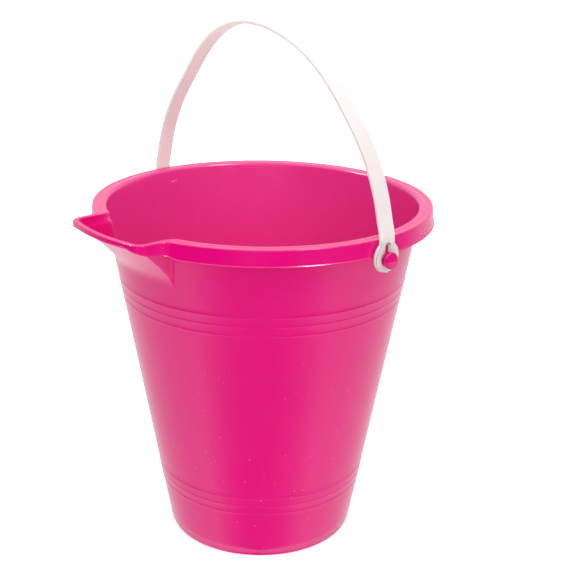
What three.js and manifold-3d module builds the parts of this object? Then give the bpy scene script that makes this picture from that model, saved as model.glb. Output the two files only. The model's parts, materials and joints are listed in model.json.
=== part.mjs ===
// A child's sand bucket: a tapered, spouted bucket moulding and the soft strap handle
// that snaps onto its two side studs. Millimetres, +Z up. The origin is the centre of the
// base, on the plane the bucket rests on. The spout points to -Y and the handle turns
// about an axis along X.
import * as THREE from "three";
import { mergeVertices } from "three/addons/utils/BufferGeometryUtils.js";
import Module from "manifold-3d";

const wasm = await Module();
wasm.setup();

// ---------- driving dimensions ----------
const HEIGHT = 200; // base to the top of the rim
const WALL = 1.6; // wall thickness, square to the wall
const FLOOR = 2.2; // thickness of the base
const BASE_R = 54.6; // outer radius the wall's cone would have at the base
const TAPER = 0.1776; // growth of the radius per unit of height
const FOOT_R = 54; // radius of the foot, set back a little from the wall
const FOOT_H = 3; // height of the foot
const FLOOR_FILLET = 5; // radius between the floor and the inside wall

const FLANGE_R = 96; // outer radius of the flat rim
const LIP_R = 91; // inner edge of the flat rim
const FLANGE_T = 1.8; // thickness of the flat rim
const SKIRT_DEPTH = 9; // how far the rim's outer skirt hangs down
const SKIRT_R = 97.5; // radius of the skirt's lower edge
const SKIRT_T = 1.6; // thickness of the skirt

const SPOUT_HALF = 30.3; // half the width of the spout, inside its lip
const SPOUT_FRONT = 109; // axis of the bucket to the spout's bowed front, inside its lip
const SPOUT_CORNER = 5; // plan radius of the spout's two front corners
const SPOUT_DRAFT = 0.2; // the spout's sides close in by this much per unit of depth
const SPOUT_FOOT = 174; // height at which the spout's ramp leaves the wall
const SPOUT_RISE = 0.8; // how far the ramp moves out per unit of height where it begins,
const SPOUT_FLARE = 0.01; // and how much faster with each millimetre further up
const SPOUT_SKIRT = 2.6; // depth of the skirt at the front of the spout
const SPOUT_LIP = 2.2; // width of the lip round the spout
const SPOUT_ENDS = THREE.MathUtils.degToRad(11); // the spout's own rim lies within this angle
const RIM_BEGINS = THREE.MathUtils.degToRad(25); // and the round rim beyond this one

const PIVOT_Z = 189.7; // height of the studs and of the handle's hinge axis
const SHANK_R = 3.25; // radius of a stud's shank
const HEAD_R = 4.5; // radius of a stud's head
const HEAD_IN = 102.3; // inner face of the head, from the axis
const HEAD_OUT = 104.1; // outermost point of the head

const EYE_R = 8.4; // radius of the handle's eyes
const EYE_IN = 98.2; // inner face of an eye, from the axis
const EYE_RISE = 1.3; // the eye's centre lies this much above its hole
const HOLE_R = 3.8; // radius of the hole in an eye
const SLOT_W = 3.2; // width of the keyhole slot above the hole
const SLOT_TOP = 8.7; // height of the slot's end above the pivot
const STRAP_T = 2; // thickness of the strap
const STRAP_W = 9.8; // width of the strap
const LEG_R = 98.8; // the legs follow a circle just clear of the skirt
const CROWN_R = 79; // radius of the top of the arch
const CROWN_TOP = 108.8; // height of the top of the arch above the pivot
const CROWN_BLEND = 4; // softens the change from the legs to the crown
const CROWN_LEAN = 7.5; // the soft crown rests this far to one side

const { sin, cos, abs, max, sqrt, atan2, PI } = Math;
const { lerp, smoothstep, degToRad } = THREE.MathUtils;

// ---------- helpers ----------

// The larger of two values, with a fillet of about the given size where they cross.
function softMax(a, b, size) {
  const mix = max(0, 1 - abs(a - b) / size);
  return max(a, b) + (mix * mix * size) / 4;
}

function softMin(a, b, size) {
  return -softMax(-a, -b, size);
}

// The outside of a closed three.js geometry as a solid that can be joined and cut.
function solid(geometry) {
  const bare = geometry.index ? geometry.toNonIndexed() : geometry.clone();
  bare.deleteAttribute("normal");
  bare.deleteAttribute("uv");
  const merged = mergeVertices(bare, 1e-4);
  const corners = merged.index.array;
  const triangles = [];
  for (let i = 0; i < corners.length; i += 3) {
    const [a, b, c] = corners.slice(i, i + 3);
    if (a !== b && b !== c && c !== a) triangles.push(a, b, c);
  }
  const vertProperties = merged.attributes.position.array;
  const triVerts = new Uint32Array(triangles);
  return new wasm.Manifold(new wasm.Mesh({ numProp: 3, vertProperties, triVerts }));
}

// A solid as a named mesh with its own material.
function meshOf(name, body, material) {
  const { vertProperties, triVerts } = body.getMesh();
  const geometry = new THREE.BufferGeometry();
  geometry.setAttribute("position", new THREE.BufferAttribute(new Float32Array(vertProperties), 3));
  geometry.setIndex(new THREE.BufferAttribute(new Uint32Array(triVerts), 1));
  geometry.computeVertexNormals();
  const mesh = new THREE.Mesh(geometry, material);
  mesh.name = name;
  return mesh;
}

// A solid turned about the X axis line, by a [radius, x] profile from axis to axis.
function turnedAlongX(profile, segments) {
  const points = profile.map(([r, x]) => new THREE.Vector2(r, x));
  return new THREE.LatheGeometry(points, segments).rotateZ(-PI / 2);
}

// ---------- the bucket ----------

const coneOuter = (z) => BASE_R + TAPER * z;
const wallAcross = WALL * sqrt(1 + TAPER * TAPER);
const coneInner = (z) => coneOuter(z) - wallAcross;

// Distance from the bucket's axis to the spout's outline, grown by offset, in direction
// angle from the spout's centre line, at a depth below the rim.
function spoutOutline(angle, offset, depth) {
  const half = SPOUT_HALF + offset - SPOUT_DRAFT * depth;
  const front = SPOUT_FRONT + offset;
  const corner = SPOUT_CORNER + offset;
  const across = abs(sin(angle));
  const along = cos(angle);
  if (along <= 0) return 0;
  const aside = half - corner; // the corner's centre, across and along the spout
  const ahead = sqrt((front - corner) ** 2 - aside ** 2);
  if (across * ahead <= along * aside) return front;
  const toSide = half / across;
  if (toSide * along <= ahead) return toSide;
  const near = aside * across + ahead * along;
  return near + sqrt(near * near - (front - corner) ** 2 + corner * corner);
}

// Radius of the rim: round, except where the spout carries it outwards.
function rimRadius(angle, round, offset, fillet) {
  return softMax(round, spoutOutline(angle, offset, 0), fillet);
}

// Radius of the spout's ramp, or of its inside at a thickness square to the ramp.
function rampRadius(z, thickness) {
  const above = max(z - SPOUT_FOOT, 0);
  const slope = SPOUT_RISE + 2 * SPOUT_FLARE * above;
  const outside = coneOuter(SPOUT_FOOT) + SPOUT_RISE * (z - SPOUT_FOOT) + SPOUT_FLARE * above ** 2;
  return outside - thickness * sqrt(1 + slope * slope);
}

// Radius of the wall: the cone, with the spout's ramp and sides standing out of it.
function wallRadius(angle, z, cone, offset, thickness) {
  const spout = softMin(spoutOutline(angle, offset, HEIGHT - z), rampRadius(z, thickness), 1.5);
  return softMax(cone, spout, 1.5);
}

const LIP_INSET = 0.8; // the spout's inside wall lies this far within its lip's edge
const OUTER_OFFSET = WALL - LIP_INSET; // and its outside wall this far beyond it
const INNER_FILLET = 8; // fillets in plan where the spout meets the round rim
const OUTER_FILLET = 9;

// One ring of the rim. round is [radius, height] on the round rim; spout is
// [offset from the lip's edge, height] at the front of the spout.
function rimRing(round, spout, fillet) {
  return (angle) => {
    const share = 1 - smoothstep(abs(angle), SPOUT_ENDS, RIM_BEGINS);
    return [rimRadius(angle, round[0], spout[0], fillet), lerp(round[1], spout[1], share)];
  };
}

const outerWallRing = (z) => (angle) => [
  wallRadius(angle, z, coneOuter(z), OUTER_OFFSET, 0),
  z,
];

const innerWallRing = (z) => (angle) => [
  wallRadius(angle, z, coneInner(z), -LIP_INSET, WALL),
  z,
];

const plainRing = (r, z) => () => [r, z];

// The rings of the bucket's surface: from the axis under the base, out and up the
// outside, over the rim, and down the inside to the axis on the floor.
function bucketRings() {
  const underFlange = HEIGHT - FLANGE_T;
  const skirtFoot = HEIGHT - SKIRT_DEPTH;
  const spoutFoot = HEIGHT - SPOUT_SKIRT;
  const rings = [plainRing(0, 0), plainRing(FOOT_R - 1, 0), plainRing(FOOT_R, 0.9)];
  rings.push(plainRing(FOOT_R + 0.3, FOOT_H - 0.4), plainRing(coneOuter(FOOT_H), FOOT_H));
  for (const z of [171, 175, 179, 183, 187, 191, 194.5]) {
    rings.push(outerWallRing(z));
  }
  rings.push(
    rimRing([coneOuter(underFlange), underFlange], [OUTER_OFFSET, spoutFoot], OUTER_FILLET),
    rimRing([FLANGE_R - SKIRT_T - 0.2, underFlange], [OUTER_OFFSET + 0.3, spoutFoot], OUTER_FILLET),
    rimRing([SKIRT_R - SKIRT_T, skirtFoot], [OUTER_OFFSET + 0.6, spoutFoot], OUTER_FILLET),
    rimRing([SKIRT_R, skirtFoot], [SPOUT_LIP + 0.3, spoutFoot], OUTER_FILLET),
    rimRing([FLANGE_R + 0.2, HEIGHT - 0.9], [SPOUT_LIP + 0.1, HEIGHT - 0.8], OUTER_FILLET),
    rimRing([FLANGE_R - 0.7, HEIGHT], [SPOUT_LIP - 0.5, HEIGHT], OUTER_FILLET),
    rimRing([LIP_R, HEIGHT], [0.2, HEIGHT], INNER_FILLET),
    rimRing([LIP_R - 1.2, HEIGHT - 0.6], [-0.4, HEIGHT - 0.4], INNER_FILLET),
    rimRing([coneInner(HEIGHT) + 0.3, HEIGHT - 2], [-LIP_INSET, HEIGHT - 1.2], INNER_FILLET),
  );
  for (const z of [194, 190, 186, 182, 178, 174, 170]) {
    rings.push(innerWallRing(z));
  }
  const filletTop = FLOOR + FLOOR_FILLET;
  const filletFoot = coneInner(filletTop) - FLOOR_FILLET;
  for (const turn of [0, 30, 60, 90].map(degToRad)) {
    const r = filletFoot + FLOOR_FILLET * cos(turn);
    rings.push(plainRing(r, filletTop - FLOOR_FILLET * sin(turn)));
  }
  rings.push(plainRing(0, FLOOR));
  return rings;
}

// Directions, measured from the spout's centre line, in which the surface has points:
// close together round the spout's sides, and evenly spread elsewhere.
function directions() {
  const half = [];
  for (let a = 0; a < 12; a += 2.4) half.push(a);
  for (let a = 12; a < 24; a += 0.75) half.push(a);
  for (let a = 24; a <= 180; a += 6) half.push(a);
  const other = half.slice(1).map((a) => -a);
  return [...other.reverse(), ...half].map(degToRad);
}

// The bucket's shell: a lathe whose points are moved out to the spout.
function bucketShell() {
  const rings = bucketRings();
  const angles = directions();
  const profile = rings.map((ring) => new THREE.Vector2(...ring(PI)));
  const geometry = new THREE.LatheGeometry(profile, angles.length - 1);
  const position = geometry.attributes.position;
  angles.forEach((angle, column) => {
    rings.forEach((ring, row) => {
      const [r, z] = ring(angle);
      position.setXYZ(column * rings.length + row, r * sin(angle), -r * cos(angle), z);
    });
  });
  return solid(geometry);
}

// A stud of the handle's hinge, on the +X side: a round shank out of the wall with a
// low domed head.
function stud() {
  const root = coneOuter(PIVOT_Z) - 1.2;
  const profile = [
    [0, root],
    [SHANK_R, root],
    [SHANK_R, HEAD_IN],
    [HEAD_R - 0.3, HEAD_IN],
    [HEAD_R, HEAD_IN + 0.3],
    [HEAD_R, HEAD_IN + 0.7],
    [HEAD_R - 0.5, HEAD_IN + 1.1],
    [HEAD_R - 1.9, HEAD_IN + 1.6],
    [0, HEAD_OUT],
  ];
  return solid(turnedAlongX(profile, 28)).translate([0, 0, PIVOT_Z]);
}

function bucket() {
  const near = stud();
  const far = near.rotate([0, 0, 180]);
  return bucketShell().add(near).add(far);
}

// ---------- the handle ----------

// A point of the strap's middle line, as [x, height above the pivot], at an angle up
// from the horizontal through the pivots.
function strapMiddle(turn) {
  const centre = CROWN_TOP - CROWN_R;
  const crown = centre * sin(turn) + sqrt(CROWN_R ** 2 - (centre * cos(turn)) ** 2);
  const reach = softMax(LEG_R, crown, CROWN_BLEND);
  const rise = reach * sin(turn);
  const lean = CROWN_LEAN * (rise / CROWN_TOP) ** 6;
  return new THREE.Vector2(reach * cos(turn) - lean, rise);
}

// The arch between the two eyes: the strap's side view, as wide as the strap.
function strap() {
  const steps = 44;
  const start = 0.03; // begins just above the pivot, inside the eye
  const outer = [];
  const inner = [];
  for (let i = 0; i <= steps; i += 1) {
    const turn = lerp(start, PI - start, i / steps);
    const here = strapMiddle(turn);
    const ahead = strapMiddle(turn + 0.001).sub(strapMiddle(turn - 0.001)).normalize();
    const out = new THREE.Vector2(ahead.y, -ahead.x).multiplyScalar(STRAP_T / 2);
    outer.push(here.clone().add(out));
    inner.push(here.clone().sub(out));
  }
  const outline = new THREE.Shape([...outer, ...inner.reverse()]);
  const geometry = new THREE.ExtrudeGeometry(outline, {
    depth: STRAP_W,
    bevelEnabled: false,
  });
  geometry.translate(0, 0, -STRAP_W / 2).rotateX(PI / 2);
  return solid(geometry).translate([0, 0, PIVOT_Z]);
}

// The round eye at the foot of the strap, on the +X side.
function eye() {
  const profile = [
    [0, EYE_IN],
    [EYE_R - 0.3, EYE_IN],
    [EYE_R, EYE_IN + 0.3],
    [EYE_R, EYE_IN + STRAP_T - 0.3],
    [EYE_R - 0.3, EYE_IN + STRAP_T],
    [0, EYE_IN + STRAP_T],
  ];
  return solid(turnedAlongX(profile, 32)).translate([0, 0, PIVOT_Z + EYE_RISE]);
}

// The keyhole that snaps over a stud: a round hole and a slot that lets it spring open.
function keyhole() {
  const hole = new THREE.Shape();
  const foot = sqrt(HOLE_R ** 2 - (SLOT_W / 2) ** 2);
  const side = atan2(foot, SLOT_W / 2);
  hole.absarc(0, 0, HOLE_R, PI - side, side, false);
  hole.absarc(0, SLOT_TOP - SLOT_W / 2, SLOT_W / 2, 0, PI, false);
  const depth = 8;
  const geometry = new THREE.ExtrudeGeometry(hole, { depth, bevelEnabled: false, curveSegments: 20 });
  geometry.rotateX(PI / 2).rotateZ(PI / 2);
  return solid(geometry).translate([EYE_IN + STRAP_T / 2 - depth / 2, 0, PIVOT_Z]);
}

function handle() {
  let body = strap();
  for (const turn of [0, 180]) {
    body = body.add(eye().rotate([0, 0, turn]));
  }
  for (const turn of [0, 180]) {
    body = body.subtract(keyhole().rotate([0, 0, turn]));
  }
  return body;
}

// ---------- the assembly ----------

const pinkPlastic = new THREE.MeshStandardMaterial({
  name: "bucket_pink",
  color: 0xe6157c,
  roughness: 0.38,
  metalness: 0,
});
const whitePlastic = new THREE.MeshStandardMaterial({
  name: "handle_white",
  color: 0xf6efea,
  roughness: 0.45,
  metalness: 0,
});

const group = new THREE.Group();
group.add(meshOf("bucket", bucket(), pinkPlastic));
group.add(meshOf("handle", handle(), whitePlastic));

export default group;
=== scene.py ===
import json
import math

import bmesh
import bpy
import numpy as np
from mathutils import Matrix, Vector
from mathutils.geometry import delaunay_2d_cdt
from mathutils.kdtree import KDTree


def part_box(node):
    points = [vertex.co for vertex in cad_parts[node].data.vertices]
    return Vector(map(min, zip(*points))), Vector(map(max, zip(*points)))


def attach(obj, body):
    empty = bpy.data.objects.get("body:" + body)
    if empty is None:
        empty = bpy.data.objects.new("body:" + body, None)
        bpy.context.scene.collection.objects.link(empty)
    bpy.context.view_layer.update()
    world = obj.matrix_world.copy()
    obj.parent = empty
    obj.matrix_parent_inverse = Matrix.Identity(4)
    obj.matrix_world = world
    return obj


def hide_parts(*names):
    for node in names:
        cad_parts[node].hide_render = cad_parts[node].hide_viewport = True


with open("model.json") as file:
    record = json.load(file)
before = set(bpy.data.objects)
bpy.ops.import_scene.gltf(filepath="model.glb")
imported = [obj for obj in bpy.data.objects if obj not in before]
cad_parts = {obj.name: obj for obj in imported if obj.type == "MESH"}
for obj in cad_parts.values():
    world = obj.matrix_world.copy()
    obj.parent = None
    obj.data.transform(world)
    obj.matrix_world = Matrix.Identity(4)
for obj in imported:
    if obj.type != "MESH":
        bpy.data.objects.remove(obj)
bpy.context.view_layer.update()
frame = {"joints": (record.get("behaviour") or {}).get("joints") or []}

MM = 0.001
BUCKET_LOW, BUCKET_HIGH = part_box("bucket")
HANDLE_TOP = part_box("handle")[1].z
PIVOT_Z = frame["joints"][0]["pos_m"][2]

# ---------- sizes of the bucket ----------
HEIGHT = BUCKET_HIGH.z                 # base to the top of the rim
WALL = 1.6 * MM
FLOOR = 2.2 * MM
BASE_R = 54.6 * MM                     # radius that the wall's cone would have at the base
TAPER = 0.1776                         # growth of the radius per unit of height
INNER_FILLET = 8 * MM                  # fillets between the round rim and the spout
OUTER_FILLET = 9 * MM
RING_HEIGHTS = [level * MM for level in (30.8, 36.0, 41.3, 147.6, 153.2, 158.6)]
RING_RAISE = 0.16 * MM                 # height of the fine rings on the wall
RING_WIDTH = 0.8 * MM

# The base: a flat foot with a rounded edge, and a fillet round the floor inside.
FOOT_R = 54 * MM
FOOT_H = 3 * MM
FOOT_EDGE = 0.7 * MM
FLOOR_FILLET = 5 * MM
# Its underside as (radius, height) in millimetres: the gate's dimple, then a fine groove.
UNDERSIDE = ((0, 0.5), (3.2, 0.5), (3.6, 0.1), (4.4, 0), (44, 0), (45, 0.35), (46, 0), (53, 0))
# The middle of the floor inside, likewise: flat, with a low boss over the gate.
FLOOR_MIDDLE = ((40, 2.2), (20, 2.2), (6, 2.2), (5.2, 2.5), (0, 2.5))

# The rim: a flat flange with a skirt that hangs from its edge.
SKIRT_R = BUCKET_HIGH.y                # radius of the skirt at its lower edge
SKIRT_DEPTH = 9 * MM
SKIRT_T = 1.6 * MM
FLANGE_R = SKIRT_R - 1.5 * MM          # outer radius of the flat flange
FLANGE_T = 1.8 * MM
LIP_R = 91 * MM                        # inner edge of the flat flange
RIM_BEAD = 0.4 * MM                    # height of the fine bead along the skirt's lower edge
RIM_DIP = 0.18 * MM                    # depth of the shallow groove along the top of the rim
LIP_STRAIGHT = 4 * MM                  # the rim's section ends this far down the inside
SPOUT_ENDS = math.radians(11)          # the rim changes from the spout's section to the round
RIM_BEGINS = math.radians(25)          # one between these directions

# The spout: a ramp that leaves the wall, flat sides and a bowed front.
SPOUT_LIP = 2.2 * MM                   # how far the lip stands out from the spout's outline
SPOUT_BEAD = 0.3 * MM                  # how far the bead under the lip stands out from it
SPOUT_SKIRT = 2.6 * MM                 # depth of the skirt at the front of the spout
SPOUT_HALF = 30.3 * MM                 # half the width of the spout's outline, at the rim
SPOUT_FRONT = -BUCKET_LOW.y - SPOUT_LIP - SPOUT_BEAD  # axis to the outline's bowed front
SPOUT_CORNER = 5 * MM
SPOUT_DRAFT = 0.2                      # how much the spout's sides close in with depth
SPOUT_FOOT = 174 * MM                  # height at which the spout's ramp leaves the wall
SPOUT_RISE = 0.8                       # how far the ramp moves out per unit of height at its foot
SPOUT_FLARE = 0.01 / MM                # and how much faster with each unit further up
SPOUT_EDGE = 1.5 * MM                  # softening of the spout's outward creases
SPOUT_ROOT = 2.2 * MM                  # and of those where it leaves the wall
LIP_INSET = 0.8 * MM                   # the outline runs this far inside the spout's wall
OUTER_OFFSET = WALL - LIP_INSET        # from its inner face, and this far from its outer face

# ---------- sizes of the studs ----------
SHANK_R = 3.25 * MM
STUD_ROOT = 1.2 * MM                   # how deep the shank begins in the wall
HEAD_R = 4.5 * MM
HEAD_IN = 102.3 * MM                   # inner face of a stud's head, from the axis
HEAD_OUT = BUCKET_HIGH.x               # outermost point of a stud's head
HEAD_BEVEL = 0.25 * MM                 # width of the bevel under the head's edge
HEAD_SIDE = 1.0 * MM                   # height of the head's straight side
HEAD_SHOULDER = 1.4 * MM               # width of its rounded shoulder
HEAD_DOME = 0.25 * MM                  # rise of its face from the shoulder to the middle
PARTING = 0.3 * MM                     # height of the mould's parting line across a head
PARTING_DROP = 0.6 * MM                # the line lies this far below the head's centre
PARTING_WIDTH = 0.3 * MM
RIDGE_FROM = 0.8 * MM                  # the line rises between these heights of the head's side
RIDGE_TO = 1.3 * MM

# ---------- sizes of the handle ----------
STRAP_T = 2 * MM
STRAP_W = 9.8 * MM
EDGE_R = 0.35 * MM                     # rounding of the strap's edges
EDGE_STEPS = 4
LEG_R = 98.8 * MM                      # the legs follow a circle just clear of the skirt
CROWN_R = 79 * MM
CROWN_TOP = HANDLE_TOP - PIVOT_Z - STRAP_T / 2
CROWN_BLEND = 4 * MM
CROWN_LEAN = 7.5 * MM                  # the soft crown leans this far to -X
LEAN_POWER = 6                         # how late on the way up the lean sets in
EYE_R = 8.4 * MM
EYE_RISE = 1.3 * MM                    # the eye's centre lies this much above the pivot
EYE_MIDDLE = 99.2 * MM                 # middle of an eye's thickness, from the axis
EYE_ENDS = 8.8 * MM                    # the leg moves from the eye's plane out to its circle
LEG_BEGINS = 20.8 * MM                 # between these heights over the pivot
HOLE_R = 3.8 * MM
SLOT_W = 3.2 * MM
SLOT_TOP = 8.7 * MM
NECK_R = 1.6 * MM                      # fillet between the strap and an eye
EYE_DISH = 0.25 * MM                   # depth of the dish round a hole
EYE_DISH_IN = 4.2 * MM
EYE_DISH_OUT = 7.4 * MM
MARK_ALONG = 79 * MM                   # the round mark of the mould, along the strap
MARK_R = 1.9 * MM
MARK_DEPTH = 0.16 * MM
MARK_EDGE = 0.25 * MM
PIP_R = 0.9 * MM                       # the raised pip in the middle of the mark
PIP_RAISE = MARK_DEPTH * 1.2
FACE_STEP = 1.2 * MM                   # spacing of the points in the strap's flat faces
FINE_STEP = 0.45 * MM                  # and round its holes and its mark
EDGE_CLEAR = 0.28 * MM                 # they stay this far from its edges

# ---------- camera ----------
CAMERA_AZIMUTH = math.radians(49.0)
CAMERA_ELEVATION = math.radians(19.491)
CAMERA_ROLL = math.radians(0.975)
CAMERA_AIM = Vector((9.83 * MM, 11.31 * MM, 146.61 * MM))
CAMERA_DISTANCE = 691.3 * MM
CAMERA_LENS = 73.92                    # millimetres, on a sensor 36 mm wide

# ---------- studio ----------
# Brightness of the studio's walls, by degrees away from the camera's side.
STUDIO_WALLS = (
    (0, 0.01), (20, 0.04), (32, 0.16), (42, 0.36), (52, 0.68), (62, 1.05), (78, 1.5), (95, 1.65),
    (120, 1.45), (150, 1.25), (180, 1.25),
)
DARK_WIDENS = 63                       # the dark side is this many degrees wider each way, higher up
DARK_WIDENS_IN = (-0.52, -0.34)        # and widens between these heights of the unit direction
CEILING = 1.6                          # brightness of the studio's ceiling
CEILING_BEGINS_IN = (0.45, 0.85)       # the walls fade into it between these heights
# Lamps: name, azimuth, elevation, strength and spread. Azimuth 0 is along -Y, as the camera's is.
GLINTS = (
    ("left_glint", -50, 47, 2.2, 10),
    ("right_glint", 100, 60, 1.6, 10),
)
SOFT_LAMPS = (
    ("high_fill", 95, 55, 0.5, 30),
    ("front_fill", 45, 18, 1.05, 40),
    ("side_fill", 95, -4, 0.5, 50),
    ("floor_bounce", 35, -50, 1.5, 80),
)
FLOOR_RADIUS = 60.0
FLOOR_SIDES = 96
FLOOR_DROP = 0.05 * MM                 # the floor lies this much under the foot


def make_camera():
    data = bpy.data.cameras.new("camera")
    data.lens = CAMERA_LENS
    data.sensor_width = 36
    camera = bpy.data.objects.new("camera", data)
    turn = Matrix.Rotation(CAMERA_AZIMUTH, 4, "Z")
    tilt = Matrix.Rotation(math.pi / 2 - CAMERA_ELEVATION, 4, "X")
    roll = Matrix.Rotation(CAMERA_ROLL, 4, "Z")
    back = Matrix.Translation((0, 0, CAMERA_DISTANCE))
    camera.matrix_world = Matrix.Translation(CAMERA_AIM) @ turn @ tilt @ roll @ back
    bpy.context.scene.collection.objects.link(camera)
    bpy.context.scene.camera = camera


# ---------- mesh helpers ----------

def soft_max(a, b, size):
    """The larger of two values, with a fillet of about the given size where they cross."""
    mix = np.maximum(0, 1 - np.abs(a - b) / size)
    return np.maximum(a, b) + mix * mix * size / 4


def soft_min(a, b, size):
    return -soft_max(-a, -b, size)


def smooth_step(value, low, high):
    t = np.clip((value - low) / (high - low), 0, 1)
    return t * t * (3 - 2 * t)


def mesh_object(name, points, faces):
    mesh = bpy.data.meshes.new(name)
    mesh.from_pydata([tuple(p) for p in points], [], faces)
    mesh.update()
    mesh.shade_smooth()
    piece = bpy.data.objects.new(name, mesh)
    bpy.context.scene.collection.objects.link(piece)
    return piece


ROUNDED_POINTS = 6                     # points on each rounded corner of a section


def rounded(corners, sizes):
    """A polyline through the corners, each of them rounded off by a short curve."""
    corners = [np.array(c, float) for c in corners]
    line = [corners[0]]
    for before, at, after, size in zip(corners, corners[1:], corners[2:], sizes):
        start = at + (before - at) * size / np.linalg.norm(before - at)
        end = at + (after - at) * size / np.linalg.norm(after - at)
        for i in range(ROUNDED_POINTS):
            t = i / (ROUNDED_POINTS - 1)
            line.append((1 - t) ** 2 * start + 2 * t * (1 - t) * at + t * t * end)
    line.append(corners[-1])
    return line


def rings_surface(name, rings):
    """A closed surface through rings of points that begins and ends in a single point."""
    count = len(rings[0])
    points = [rings[0][0]]
    for ring in rings[1:-1]:
        points.extend(ring)
    points.append(rings[-1][0])
    last = len(points) - 1
    end = last - count
    faces = []
    for i in range(count):
        j = (i + 1) % count
        faces.append((0, 1 + j, 1 + i))
        for a in range(1, end, count):
            b = a + count
            faces.append((a + i, a + j, b + j, b + i))
        faces.append((end + i, end + j, last))
    return mesh_object(name, points, faces)


# ---------- the bucket ----------

def cone_outer(z):
    return BASE_R + TAPER * z


def cone_inner(z):
    return cone_outer(z) - WALL * math.hypot(1, TAPER)


def spout_outline(angle, offset, depth):
    """Distance from the axis to the spout's outline, grown by offset, at a depth below the rim."""
    half = SPOUT_HALF + offset - SPOUT_DRAFT * depth
    front = SPOUT_FRONT + offset
    corner = SPOUT_CORNER + offset
    across = np.maximum(np.abs(np.sin(angle)), 1e-9)
    along = np.cos(angle)
    aside = half - corner              # the corner's centre, across and along the spout
    ahead = np.sqrt((front - corner) ** 2 - aside ** 2)
    near = aside * across + ahead * along
    to_corner = near + np.sqrt(np.maximum(near * near - (front - corner) ** 2 + corner * corner, 0))
    to_side = half / across
    reach = np.where(to_side * along <= ahead, to_side, to_corner)
    reach = np.where(across * ahead <= along * aside, front, reach)
    return np.where(along > 0, reach, 0)


def ramp_radius(z, thickness):
    """Radius of the spout's ramp, or of its inside at a thickness square to the ramp."""
    above = max(z - SPOUT_FOOT, 0)
    slope = SPOUT_RISE + 2 * SPOUT_FLARE * above
    outside = cone_outer(SPOUT_FOOT) + SPOUT_RISE * (z - SPOUT_FOOT) + SPOUT_FLARE * above ** 2
    return outside - thickness * math.hypot(1, slope)


def wall_radius(angle, z, cone, offset, thickness):
    """Radius of the wall: the cone, with the spout's ramp and sides standing out of it."""
    spout = soft_min(spout_outline(angle, offset, HEIGHT - z), ramp_radius(z, thickness), SPOUT_EDGE)
    return soft_max(cone, spout, SPOUT_ROOT)


def ring_bead(z):
    """How far the fine rings raise the wall at a height."""
    raised = 0
    for level in RING_HEIGHTS:
        near = min(abs(z - level) / (RING_WIDTH / 2), 1)
        raised += RING_RAISE * math.cos(near * math.pi / 2) ** 2
    return raised


def outer_wall_heights():
    """Heights of the outer wall's rings of points: close at the fine rings and over the ramp."""
    heights = list(np.arange(FOOT_H, 171 * MM, 4.2 * MM))
    for level in RING_HEIGHTS:
        heights += [level + share * RING_WIDTH / 2 for share in (-1, -0.7, -0.35, 0, 0.35, 0.7, 1)]
    heights += list(np.arange(171 * MM, 197 * MM, 1.25 * MM))
    return sorted(heights)


def inner_wall_heights():
    return np.concatenate([np.arange(195, 169, -1.25), np.arange(165, 7.2, -6)]) * MM


def round_section():
    """The rim's section where it is round: under the flange, round the skirt, over to the inside."""
    under = HEIGHT - FLANGE_T
    foot = HEIGHT - SKIRT_DEPTH
    corners = [
        (cone_outer(under), under),
        (FLANGE_R - SKIRT_T - 0.2 * MM, under),
        (SKIRT_R - SKIRT_T, foot),
        (SKIRT_R, foot),
        (SKIRT_R, foot + RIM_BEAD),
        (SKIRT_R - 0.45 * MM, foot + RIM_BEAD + 0.45 * MM),
        (FLANGE_R + 0.2 * MM, HEIGHT),
        (FLANGE_R - 1.3 * MM, HEIGHT),
        (FLANGE_R - 1.8 * MM, HEIGHT - RIM_DIP),
        (LIP_R + 1.2 * MM, HEIGHT - RIM_DIP),
        (LIP_R + 0.7 * MM, HEIGHT),
        (cone_inner(HEIGHT), HEIGHT),
        (cone_inner(HEIGHT - LIP_STRAIGHT), HEIGHT - LIP_STRAIGHT),
    ]
    sizes = (0.6, 0.4, 0.15, 0.15, 0.15, 0.7, 0.25, 0.25, 0.25, 0.25, 1.8)
    return rounded(corners, [size * MM for size in sizes])


def spout_section():
    """The same corners at the front of the spout, as offsets from its outline."""
    foot = HEIGHT - SPOUT_SKIRT
    corners = [
        (OUTER_OFFSET, foot),
        (OUTER_OFFSET + 0.3 * MM, foot),
        (OUTER_OFFSET + 0.6 * MM, foot),
        (SPOUT_LIP + SPOUT_BEAD, foot),
        (SPOUT_LIP + SPOUT_BEAD, foot + RIM_BEAD),
        (SPOUT_LIP + 0.05 * MM, foot + RIM_BEAD + 0.25 * MM),
        (SPOUT_LIP + 0.1 * MM, HEIGHT),
        (SPOUT_LIP - 0.95 * MM, HEIGHT),
        (SPOUT_LIP - 1.15 * MM, HEIGHT - RIM_DIP),
        (0.65 * MM, HEIGHT - RIM_DIP),
        (0.45 * MM, HEIGHT),
        (-LIP_INSET, HEIGHT),
        (-LIP_INSET, HEIGHT - LIP_STRAIGHT),
    ]
    sizes = (0.05, 0.05, 0.15, 0.15, 0.12, 0.8, 0.1, 0.1, 0.1, 0.1, 0.6)
    return rounded(corners, [size * MM for size in sizes])


# The corners of both sections before the inner side of the groove take the outer fillet.
OUTER_CORNERS = 8


def directions():
    """Directions round the bucket, from the spout's centre line, closest at the spout's sides."""
    half = np.concatenate([
        np.arange(0, 12, 1.0),
        np.arange(12, 24, 0.2),
        np.arange(24, 40, 0.8),
        np.arange(40, 180, 2.0),
    ])
    return np.radians(np.concatenate([half, [180], -half[:0:-1]]))


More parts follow.
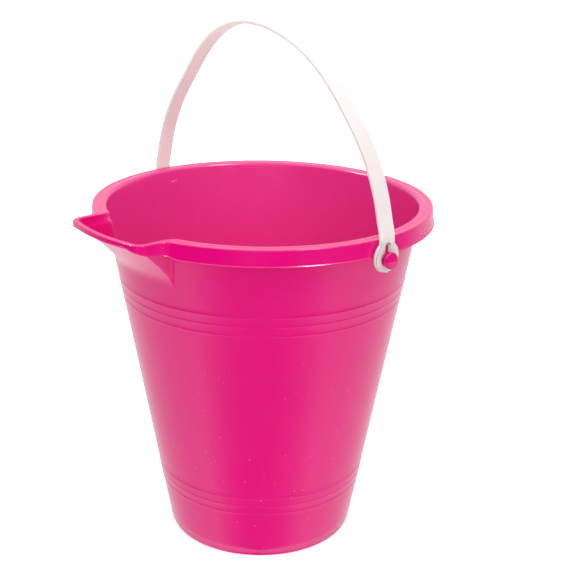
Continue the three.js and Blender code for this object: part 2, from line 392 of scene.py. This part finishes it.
def rim_rings(angle):
    """The rim's rings of (radius, height), from under the flange over to the inside."""
    share = 1 - smooth_step(np.abs(angle), SPOUT_ENDS, RIM_BEGINS)
    inner_from = 1 + OUTER_CORNERS * ROUNDED_POINTS
    rings = []
    for i, (at_round, at_spout) in enumerate(zip(round_section(), spout_section())):
        fillet = INNER_FILLET if i >= inner_from else OUTER_FILLET
        radius = soft_max(at_round[0], spout_outline(angle, at_spout[0], 0), fillet)
        rings.append((radius, at_round[1] * (1 - share) + at_spout[1] * share))
    return rings


def bucket_rings(angle):
    """Rings of (radius, height): under the base, up the outside, over the rim, down the inside."""
    rings = []

    def plain(r, z):
        rings.append((np.full_like(angle, r), np.full_like(angle, z)))

    for r, z in UNDERSIDE:
        plain(r * MM, z * MM)
    flat_edge = (UNDERSIDE[-1][0] * MM, 0)
    for r, z in rounded([flat_edge, (FOOT_R, 0), (FOOT_R + 0.3 * MM, 2.6 * MM)], [FOOT_EDGE]):
        plain(r, z)
    for z in outer_wall_heights():
        cone = cone_outer(z) + ring_bead(z)
        rings.append((wall_radius(angle, z, cone, OUTER_OFFSET, 0), np.full_like(angle, z)))
    rings += rim_rings(angle)
    for z in inner_wall_heights():
        radius = wall_radius(angle, z, cone_inner(z), -LIP_INSET, WALL)
        rings.append((radius, np.full_like(angle, z)))
    fillet_top = FLOOR + FLOOR_FILLET
    fillet_foot = cone_inner(fillet_top) - FLOOR_FILLET
    for turn in np.radians(np.linspace(0, 90, 9)):
        plain(fillet_foot + FLOOR_FILLET * math.cos(turn), fillet_top - FLOOR_FILLET * math.sin(turn))
    for r, z in FLOOR_MIDDLE:
        plain(r * MM, z * MM)
    return rings


def bucket_shell():
    angle = directions()
    rings = []
    for radius, z in bucket_rings(angle):
        rings.append(np.stack([radius * np.sin(angle), -radius * np.cos(angle), z], axis=1))
    return rings_surface("bucket_shell", rings)


def stud_profile(face):
    """A stud's (radius, distance from the axis), out to the face of its low domed head."""
    root = cone_outer(PIVOT_Z) - STUD_ROOT
    neck = (HEAD_R - HEAD_BEVEL, HEAD_IN)
    corners = [
        neck,
        (HEAD_R, HEAD_IN),
        (HEAD_R, HEAD_IN + HEAD_SIDE),
        (HEAD_R - HEAD_SHOULDER, face - HEAD_DOME),
        (0, face),
    ]
    shoulder = rounded(corners, [0.2 * MM, 0.7 * MM, 1.2 * MM])[1:-1]
    profile = [(0, root), (SHANK_R, root), (SHANK_R, HEAD_IN), neck, *shoulder]
    from_r, from_x = profile[-1]
    for share in np.linspace(0, 1, 14)[1:]:
        profile.append((from_r * (1 - share), face + (from_x - face) * (1 - share) ** 2))
    return profile


def stud(side):
    """A stud of the hinge, with the mould's parting line as a fine ridge across its head."""
    turn = np.arange(96) * 2 * math.pi / 96
    rings = []
    for r, x in stud_profile(HEAD_OUT - PARTING):
        across = r * np.cos(turn)
        rise = r * np.sin(turn)
        ridge = PARTING * np.exp(-(((rise + PARTING_DROP) / PARTING_WIDTH) ** 2))
        ridge = ridge * smooth_step(x, HEAD_IN + RIDGE_FROM, HEAD_IN + RIDGE_TO)
        rings.append(np.stack([(x + ridge) * side, across * side, rise + PIVOT_Z], axis=1))
    return rings_surface("stud", rings)


def join_solids(piece, *others):
    """The union of closed meshes, as one closed mesh on the first piece."""
    for other in others:
        union = piece.modifiers.new("union", "BOOLEAN")
        union.operation = "UNION"
        union.solver = "EXACT"
        union.object = other
    graph = bpy.context.evaluated_depsgraph_get()
    joined = bpy.data.meshes.new_from_object(piece.evaluated_get(graph))
    piece.modifiers.clear()
    piece.data = joined
    for other in others:
        bpy.data.objects.remove(other)
    joined.shade_smooth()
    return piece


def make_bucket():
    return join_solids(bucket_shell(), stud(1), stud(-1))


# ---------- the handle ----------

def strap_line():
    """The strap's middle line as points (x, height over the pivot), and their lengths along it."""
    turn = np.linspace(0, math.pi, 2401)
    centre = CROWN_TOP - CROWN_R
    crown = centre * np.sin(turn) + np.sqrt(CROWN_R ** 2 - (centre * np.cos(turn)) ** 2)
    reach = soft_max(LEG_R, crown, CROWN_BLEND)
    rise = reach * np.sin(turn)
    x = reach * np.cos(turn)
    at_eye = 1 - smooth_step(rise, EYE_ENDS, LEG_BEGINS)
    x = x * (1 - at_eye) + np.sign(x) * EYE_MIDDLE * at_eye
    x = x - CROWN_LEAN * (rise / CROWN_TOP) ** LEAN_POWER
    line = np.stack([x, rise], axis=1)
    steps = np.linalg.norm(np.diff(line, axis=0), axis=1)
    return line, np.concatenate([[0], np.cumsum(steps)])


def bend(flat, line, along):
    """Points (along, across, up from the middle) of the flat strap, placed on the arch."""
    length = along[-1]
    s = flat[:, 0]
    inside = np.clip(s, 0, length)
    x = np.interp(inside, along, line[:, 0])
    rise = np.interp(inside, along, line[:, 1]) + np.minimum(s, 0) - np.maximum(s - length, 0)
    slope = np.gradient(line, along, axis=0)
    tx = np.interp(inside, along, slope[:, 0])
    tz = np.interp(inside, along, slope[:, 1])
    size = np.hypot(tx, tz)
    out_x = tz / size
    out_z = -tx / size
    lift = flat[:, 2]
    return np.stack([x + out_x * lift, flat[:, 1], PIVOT_Z + rise + out_z * lift], axis=1)


def arc(centre, radius, start, end, step=0.3 * MM):
    """Points of an arc, without its last one. Angles in radians."""
    count = max(3, math.ceil(abs(end - start) * radius / step))
    turn = start + (end - start) * np.arange(count) / count
    return [(centre[0] + radius * math.cos(t), centre[1] + radius * math.sin(t)) for t in turn]


def neck_centre():
    """Centre of a neck's fillet: its distances along and across the strap from the eye's centre."""
    across = STRAP_W / 2 + NECK_R
    return math.sqrt((EYE_R + NECK_R) ** 2 - across ** 2), across


def strap_outline(length):
    """The outline of the flat strap, anticlockwise, with an eye at each end."""
    half = STRAP_W / 2
    along, across = neck_centre()
    meets = math.atan2(across, along)
    neck = EYE_RISE + along
    points = arc((EYE_RISE, 0), EYE_R, meets, 2 * math.pi - meets)
    points += arc((neck, -across), NECK_R, math.pi - meets, math.pi / 2)
    straight = np.arange(neck, length - neck, FACE_STEP)
    points += [(s, -half) for s in straight]
    points += arc((length - neck, -across), NECK_R, math.pi / 2, meets)
    points += arc((length - EYE_RISE, 0), EYE_R, meets - math.pi, math.pi - meets)
    points += arc((length - neck, across), NECK_R, -meets, -math.pi / 2)
    points += [(s, half) for s in length - straight]
    points += arc((neck, across), NECK_R, -math.pi / 2, meets - math.pi)
    return np.array(points)


def keyhole_outline(pivot, way):
    """A keyhole round a pivot, clockwise, its slot pointing along the strap (way is 1 or -1)."""
    side = math.asin(SLOT_W / 2 / HOLE_R)
    points = arc((0, 0), HOLE_R, -side, side - 2 * math.pi)
    end = SLOT_TOP - SLOT_W / 2
    foot = HOLE_R * math.cos(side)
    sides = np.linspace(foot, end, 8)
    points += [(s, SLOT_W / 2) for s in sides]
    points += arc((end, 0), SLOT_W / 2, math.pi / 2, -math.pi / 2)[1:]
    points += [(s, -SLOT_W / 2) for s in sides[::-1]][:-1]
    return np.array([(pivot + way * s, way * y) for s, y in points])


def inset(outline, distance):
    """The outline moved into the material, which lies to its left."""
    ahead = np.roll(outline, -1, axis=0) - np.roll(outline, 1, axis=0)
    ahead /= np.linalg.norm(ahead, axis=1)[:, None]
    return outline + distance * np.stack([-ahead[:, 1], ahead[:, 0]], axis=1)


def face_height(points, length):
    """Height of the outer face over the middle: dished round the holes, with the mould's mark."""
    height = np.full(len(points), STRAP_T / 2)
    for pivot in (0, length):
        r = np.hypot(points[:, 0] - pivot, points[:, 1])
        height -= EYE_DISH * (1 - smooth_step(r, EYE_DISH_IN, EYE_DISH_OUT))
    r = np.hypot(points[:, 0] - MARK_ALONG, points[:, 1])
    height -= MARK_DEPTH * (1 - smooth_step(r, MARK_R - MARK_EDGE, MARK_R + MARK_EDGE))
    height += PIP_RAISE * (1 - smooth_step(r, MARK_EDGE, PIP_R))
    return height


def in_material(points, length):
    """Which flat points lie in the strap or its eyes, and not in a keyhole."""
    s = points[:, 0]
    y = np.abs(points[:, 1])
    along, across = neck_centre()
    slot_end = SLOT_TOP - SLOT_W / 2
    inside = (s > 0) & (s < length) & (y < STRAP_W / 2)
    for pivot, way in ((0, 1), (length, -1)):
        local = (s - pivot) * way
        inside |= np.hypot(local - EYE_RISE, y) < EYE_R
        neck = (local > 0) & (local < EYE_RISE + along) & (y < across)
        inside |= neck & (np.hypot(local - EYE_RISE - along, y - across) > NECK_R)
        inside &= np.hypot(local, y) > HOLE_R
        inside &= ~((local > 0) & (local < slot_end) & (y < SLOT_W / 2))
        inside &= np.hypot(local - slot_end, y) > SLOT_W / 2
    return inside


def inner_points(length, loops):
    """Points inside the strap's faces, clear of its edges: rows, and circles where it is dished."""
    half = STRAP_W / 2
    eye_zone = 10 * MM
    mark_zone = 3.2 * MM
    wanted = []
    for s in np.arange(eye_zone, length - eye_zone, FACE_STEP):
        if abs(s - MARK_ALONG) > mark_zone:
            wanted += [(s, y) for y in np.linspace(-half + FACE_STEP, half - FACE_STEP, 7)]
    for centre, first, last in ((0, 4.5, 9.8), (length, 4.5, 9.8), (MARK_ALONG, 0.3, 3.3)):
        for r in np.arange(first, last, 0.33) * MM:
            count = max(6, round(2 * math.pi * r / FINE_STEP))
            wanted += arc((centre, 0), r, 0, 2 * math.pi * (1 - 1 / count), 2 * math.pi * r / count)
    edges = np.concatenate(loops)
    tree = KDTree(len(edges))
    for i, point in enumerate(edges):
        tree.insert((*point, 0), i)
    tree.balance()
    wanted = np.array(wanted)
    clear = [tree.find((*p, 0))[2] > EDGE_CLEAR for p in wanted]
    wanted = wanted[np.array(clear)]
    return wanted[in_material(wanted, length)]


def flat_face(length, loops):
    """The strap's flat face: its points, its triangles, and each loop's points among them.

    Triangles are kept by the full outline, so small stray ones round the eyes, about 470 on each
    face, stay outside the inset loops.
    """
    starts = np.cumsum([0] + [len(loop) for loop in loops])
    edges = []
    for start, loop in zip(starts, loops):
        edges += [(start + i, start + (i + 1) % len(loop)) for i in range(len(loop))]
    flat = np.concatenate([*loops, inner_points(length, loops)])
    made = delaunay_2d_cdt([Vector(p) for p in flat], edges, [], 0, 1e-7)
    where = np.array([tuple(v) for v in made[0]])
    triangles = np.array(made[2])
    kept = triangles[in_material(where[triangles].mean(axis=1), length)]
    found = {sources[0]: i for i, sources in enumerate(made[3]) if len(sources) == 1}
    on_loops = [np.array([found[i] for i in range(*ends)]) for ends in zip(starts, starts[1:])]
    return where, kept, on_loops


def rounded_edge(outline, length):
    """Loops of points that round an edge of the strap, from its outer face to its inner face."""
    turns = math.pi / 2 * np.arange(1, EDGE_STEPS + 1) / EDGE_STEPS
    loops = []
    for turn in turns:
        loop = inset(outline, EDGE_R * (1 - math.sin(turn)))
        drop = EDGE_R * (1 - math.cos(turn))
        loops.append(np.column_stack([loop, face_height(loop, length) - drop]))
    for turn in turns[::-1]:
        loop = inset(outline, EDGE_R * (1 - math.sin(turn)))
        drop = EDGE_R * (1 - math.cos(turn))
        loops.append(np.column_stack([loop, np.full(len(loop), drop - STRAP_T / 2)]))
    return loops


def make_handle():
    line, along = strap_line()
    length = along[-1]
    outlines = [strap_outline(length), keyhole_outline(0, 1), keyhole_outline(length, -1)]
    where, triangles, on_loops = flat_face(length, [inset(outline, EDGE_R) for outline in outlines])
    count = len(where)
    top = np.column_stack([where, face_height(where, length)])
    bottom = np.column_stack([where, np.full(count, -STRAP_T / 2)])
    points = [top, bottom]
    faces = [tuple(t) for t in triangles] + [tuple(t[::-1] + count) for t in triangles]
    used = 2 * count
    for outline, upper_edge in zip(outlines, on_loops):
        size = len(outline)
        strips = [upper_edge]
        for loop in rounded_edge(outline, length):
            points.append(loop)
            strips.append(used + np.arange(size))
            used += size
        strips.append(upper_edge + count)
        for upper, lower in zip(strips, strips[1:]):
            for i in range(size):
                j = (i + 1) % size
                faces.append((upper[i], lower[i], lower[j], upper[j]))
    return clean_mesh(mesh_object("strap_handle", bend(np.concatenate(points), line, along), faces))


def clean_mesh(piece):
    """Drops points that no face uses, and turns all faces outwards."""
    work = bmesh.new()
    work.from_mesh(piece.data)
    loose = [v for v in work.verts if not v.link_faces]
    bmesh.ops.delete(work, geom=loose, context="VERTS")
    bmesh.ops.recalc_face_normals(work, faces=work.faces)
    work.to_mesh(piece.data)
    work.free()
    piece.data.shade_smooth()
    return piece


# ---------- materials ----------

class Nodes:
    """Short calls to build a node tree."""

    def __init__(self, tree):
        self.tree = tree

    def add(self, kind, **settings):
        node = self.tree.nodes.new(kind)
        for key, value in settings.items():
            setattr(node, key, value)
        return node

    def link(self, source, target):
        self.tree.links.new(source, target)

    def height_of(self, place):
        split = self.add("ShaderNodeSeparateXYZ")
        self.link(place, split.inputs["Vector"])
        return split.outputs["Z"]

    def ranged(self, value, low, high, to_low, to_high, smooth=False):
        node = self.add("ShaderNodeMapRange")
        if smooth:
            node.interpolation_type = "SMOOTHSTEP"
        for slot, number in zip(("From Min", "From Max", "To Min", "To Max"), (low, high, to_low, to_high)):
            node.inputs[slot].default_value = number
        self.link(value, node.inputs["Value"])
        return node.outputs["Result"]

    def math(self, operation, *values):
        node = self.add("ShaderNodeMath", operation=operation)
        for slot, value in zip(node.inputs, values):
            if isinstance(value, (int, float)):
                slot.default_value = value
            else:
                self.link(value, slot)
        return node.outputs["Value"]

    def vector(self, operation, *values):
        node = self.add("ShaderNodeVectorMath", operation=operation)
        for slot, value in zip(node.inputs, values):
            if isinstance(value, tuple):
                slot.default_value = value
            else:
                self.link(value, slot)
        return node.outputs["Value" if operation == "DOT_PRODUCT" else "Vector"]

    def mix(self, factor, a, b):
        node = self.add("ShaderNodeMix", data_type="RGBA")
        self.link(factor, node.inputs["Factor"])
        for slot, value in zip((node.inputs[6], node.inputs[7]), (a, b)):
            if isinstance(value, tuple):
                slot.default_value = (*value, 1)
            else:
                self.link(value, slot)
        return node.outputs[2]


class Material(Nodes):
    """A material's node tree, with textures placed on the object."""

    def __init__(self, name):
        self.material = bpy.data.materials.new(name)
        self.material.use_nodes = True
        super().__init__(self.material.node_tree)
        self.shader = self.tree.nodes["Principled BSDF"]
        self.place = self.add("ShaderNodeTexCoord").outputs["Object"]

    def noise(self, scale, detail, roughness=0.5):
        node = self.add("ShaderNodeTexNoise")
        node.inputs["Scale"].default_value = scale
        node.inputs["Detail"].default_value = detail
        node.inputs["Roughness"].default_value = roughness
        self.link(self.place, node.inputs["Vector"])
        return node.outputs["Fac"]

    def cloudy(self, scale, detail, low, high, roughness=0.5):
        """Noise stretched to run from one value to another."""
        return self.ranged(self.noise(scale, detail, roughness), 0.3, 0.7, low, high)

    def bump(self, height, strength, distance):
        node = self.add("ShaderNodeBump")
        node.inputs["Strength"].default_value = strength
        node.inputs["Distance"].default_value = distance
        self.link(height, node.inputs["Height"])
        return node.outputs["Normal"]

    def set(self, **values):
        for name, value in values.items():
            socket = self.shader.inputs[name.replace("_", " ")]
            if hasattr(value, "links"):
                self.link(value, socket)
            elif isinstance(value, tuple) and socket.type == "RGBA":
                socket.default_value = (*value, 1)
            else:
                socket.default_value = value


def painted_inside_light_mask(n):
    """1 on surfaces that face the bucket's axis, 0 elsewhere: where painted light and sheen make the inside
    paler.
    """
    outward = n.vector("NORMALIZE", n.vector("MULTIPLY", n.place, (1, 1, 0)))
    facing = n.vector("DOT_PRODUCT", outward, n.add("ShaderNodeNewGeometry").outputs["Normal"])
    return n.ranged(facing, -0.3, -0.7, 0, 1)


def speck_mask(n):
    """Sparse pale dots, about half a millimetre across, mostly on the lower wall."""
    cells = n.add("ShaderNodeTexVoronoi")
    cells.inputs["Scale"].default_value = 210
    n.link(n.place, cells.inputs["Vector"])
    dots = n.ranged(cells.outputs["Distance"], 0.04, 0.08, 1, 0)
    low = n.ranged(n.height_of(n.place), 0.06, 0.15, 1, 0.15)
    return n.math("MULTIPLY", dots, low)


def bucket_plastic():
    """Magenta polypropylene: faint clouding, shallow waves, an inside made paler by painted light and
    sheen, and a few pale specks.
    """
    n = Material("bucket_plastic")
    colour = n.mix(n.cloudy(14, 3, 0, 1), (0.765, 0.0006, 0.190), (0.80, 0.0010, 0.202))
    # Painted light and sheen: faces towards the axis get a paler, hazier pink that stands in for light on
    # the inside.
    colour = n.mix(painted_inside_light_mask(n), colour, (0.82, 0.04, 0.28))
    colour = n.mix(speck_mask(n), colour, (0.88, 0.25, 0.45))
    waves = n.bump(n.noise(12, 0), 0.3, 0.3 * MM)
    n.set(Base_Color=colour, Roughness=n.cloudy(60, 4, 0.17, 0.22, 0.6), Normal=waves)
    n.set(Specular_IOR_Level=0.5)
    return n.material


def handle_plastic():
    """Natural white polyethylene: warm white, waxy, slightly cloudy and translucent."""
    n = Material("handle_plastic")
    colour = n.mix(n.cloudy(40, 3, 0, 1), (0.80, 0.775, 0.745), (0.83, 0.81, 0.78))
    grain = n.bump(n.noise(700, 2), 0.08, 0.05 * MM)
    n.set(Base_Color=colour, Roughness=n.cloudy(120, 3, 0.36, 0.48), Normal=grain)
    n.set(Subsurface_Weight=1.0, Subsurface_Scale=7 * MM, Subsurface_Radius=(1.0, 0.9, 0.85))
    return n.material


def floor_paint():
    n = Material("floor_paint")
    colour = n.mix(n.cloudy(3, 2, 0, 1), (0.94, 0.94, 0.94), (0.96, 0.96, 0.96))
    n.set(Base_Color=colour, Roughness=0.9)
    n.set(Emission_Color=(1, 1, 1), Emission_Strength=0.45)
    return n.material


# ---------- floor and light ----------

def make_floor():
    """A pale floor. It stays out of the bucket's reflections, which show only the studio."""
    turn = np.arange(FLOOR_SIDES) * 2 * math.pi / FLOOR_SIDES
    level = np.full(FLOOR_SIDES, -FLOOR_DROP)
    rim = np.stack([FLOOR_RADIUS * np.cos(turn), FLOOR_RADIUS * np.sin(turn), level], axis=1)
    floor = mesh_object("floor", rim, [tuple(range(FLOOR_SIDES))])
    floor.data.materials.append(floor_paint())
    floor.visible_glossy = False
    floor.visible_diffuse = False
    floor.visible_shadow = False


def studio_walls(n, place):
    """The walls' brightness in a direction: a ramp over the angle away from the camera's side."""
    toward = (math.sin(CAMERA_AZIMUTH), -math.cos(CAMERA_AZIMUTH), 0)
    level = n.vector("NORMALIZE", n.vector("MULTIPLY", place, (1, 1, 0)))
    away = n.math("DIVIDE", n.math("ARCCOSINE", n.vector("DOT_PRODUCT", level, toward)), math.pi)
    widened = n.ranged(n.height_of(place), *DARK_WIDENS_IN, 0, DARK_WIDENS / 180, smooth=True)
    walls = n.add("ShaderNodeValToRGB")
    walls.color_ramp.interpolation = "B_SPLINE"
    stops = walls.color_ramp.elements
    while len(stops) > 1:
        stops.remove(stops[-1])
    for i, (degrees, light) in enumerate(STUDIO_WALLS):
        stop = stops[0] if i == 0 else stops.new(degrees / 180)
        stop.position = degrees / 180
        stop.color = (light, light, light, 1)
    n.link(n.math("SUBTRACT", away, widened), walls.inputs["Fac"])
    return walls.outputs["Color"]


def make_world():
    """A pale studio: bright to the sides and behind the bucket, dark on the camera's side."""
    world = bpy.data.worlds.new("studio")
    bpy.context.scene.world = world
    world.use_nodes = True
    n = Nodes(world.node_tree)
    place = n.add("ShaderNodeTexCoord").outputs["Generated"]
    overhead = n.ranged(n.height_of(place), *CEILING_BEGINS_IN, 0, 1, smooth=True)
    light = n.mix(overhead, studio_walls(n, place), (CEILING, CEILING, CEILING))
    n.link(light, n.tree.nodes["Background"].inputs["Color"])
    n.tree.nodes["Background"].inputs["Strength"].default_value = 1.0


def add_lamp(name, azimuth, elevation, strength, spread, glint):
    """A distant lamp, which gives either highlights or soft light. Angles in degrees."""
    data = bpy.data.lights.new(name, "SUN")
    data.energy = strength
    data.angle = math.radians(spread)
    lamp = bpy.data.objects.new(name, data)
    turn = Matrix.Rotation(math.radians(azimuth), 4, "Z")
    lamp.matrix_world = turn @ Matrix.Rotation(math.radians(90 - elevation), 4, "X")
    lamp.visible_glossy = glint
    lamp.visible_diffuse = not glint
    bpy.context.scene.collection.objects.link(lamp)


def make_lights():
    for lamp in GLINTS:
        add_lamp(*lamp, glint=True)
    for lamp in SOFT_LAMPS:
        add_lamp(*lamp, glint=False)


# ---------- putting it together ----------

def finish_piece(piece, body, node, material):
    piece.data.materials.clear()
    piece.data.materials.append(material)
    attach(piece, body)
    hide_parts(node)


make_camera()
make_world()
make_lights()
make_floor()
finish_piece(make_bucket(), "bucket", "bucket", bucket_plastic())
finish_piece(make_handle(), "handle", "handle", handle_plastic())
bpy.context.scene.view_settings.view_transform = "Standard"
